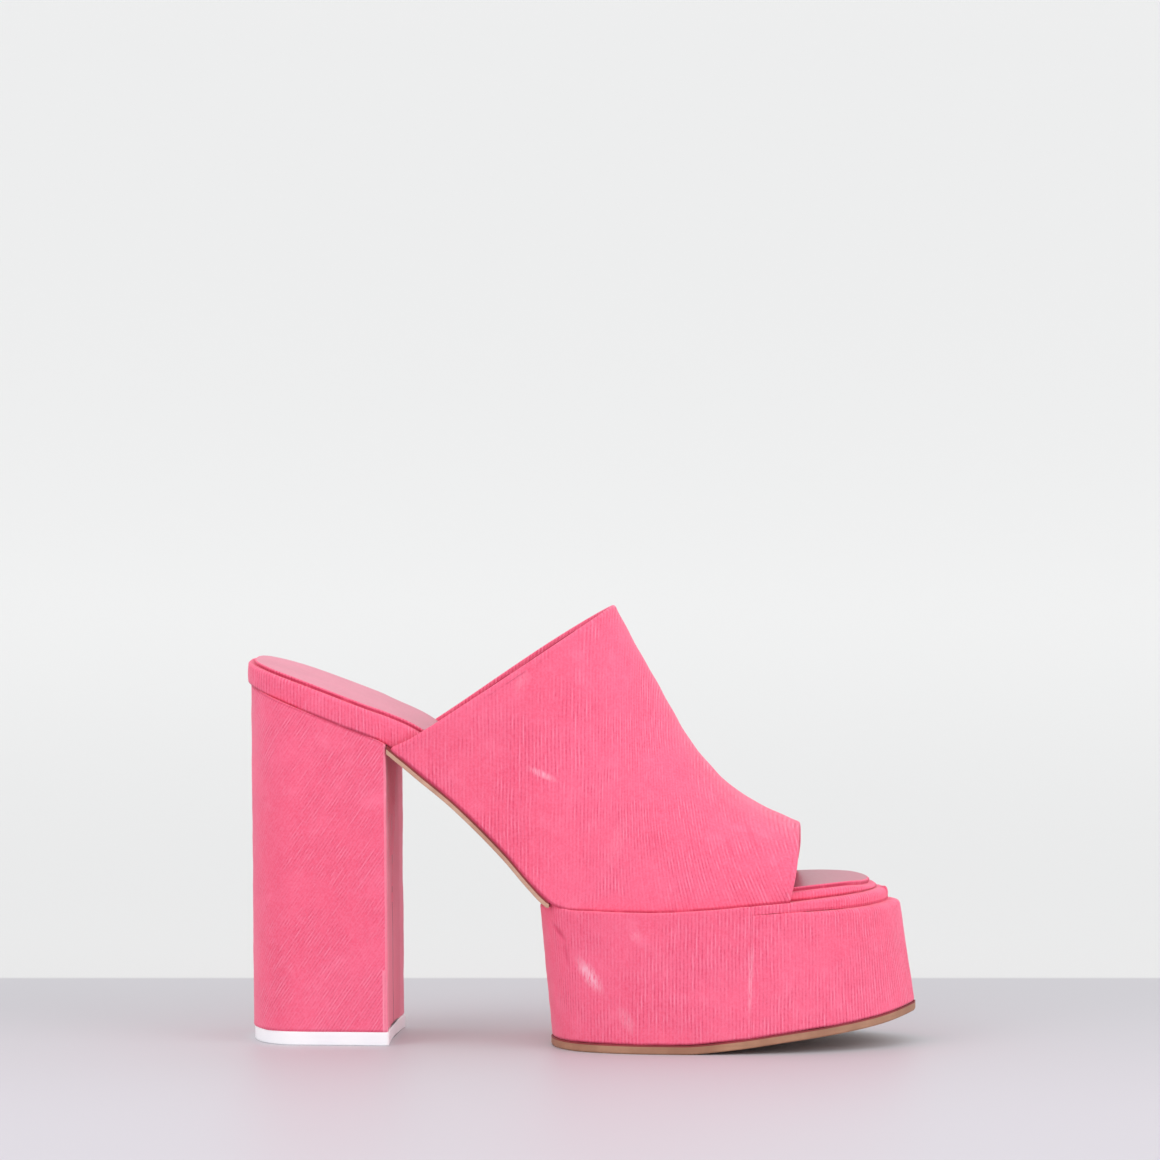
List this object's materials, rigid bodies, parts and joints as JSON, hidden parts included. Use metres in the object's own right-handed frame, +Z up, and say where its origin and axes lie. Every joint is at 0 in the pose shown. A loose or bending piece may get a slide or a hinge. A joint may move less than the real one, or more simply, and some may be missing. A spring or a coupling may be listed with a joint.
{
  "type": "platform mule",
  "caption": "Platform mule with a block heel, a wide hollow fabric band open at the heel and toe, a covered platform and a leather sole.",
  "frame": {"origin": "middle of the heel tip's ground face, on the ground", "axes": "+X along the shoe from heel to toe, +Y to the wearer's left, +Z up"},
  "size_m": [0.2265, 0.0883, 0.148],
  "materials": {
    "cloth": "ribbed, washed pink cloth",
    "sock_leather": "smooth, satin",
    "sole_leather": "smooth, satin",
    "heel_tip": "satin white"
  },
  "bodies": {
    "root": {"heel_tip": "heel_tip", "heel_block": "cloth", "outsole": "sole_leather", "waist_sole": "sole_leather", "platform": "cloth", "platform_rim": "cloth", "board": "cloth", "insole": "sock_leather", "upper": "cloth"}
  },
  "joints": []
}
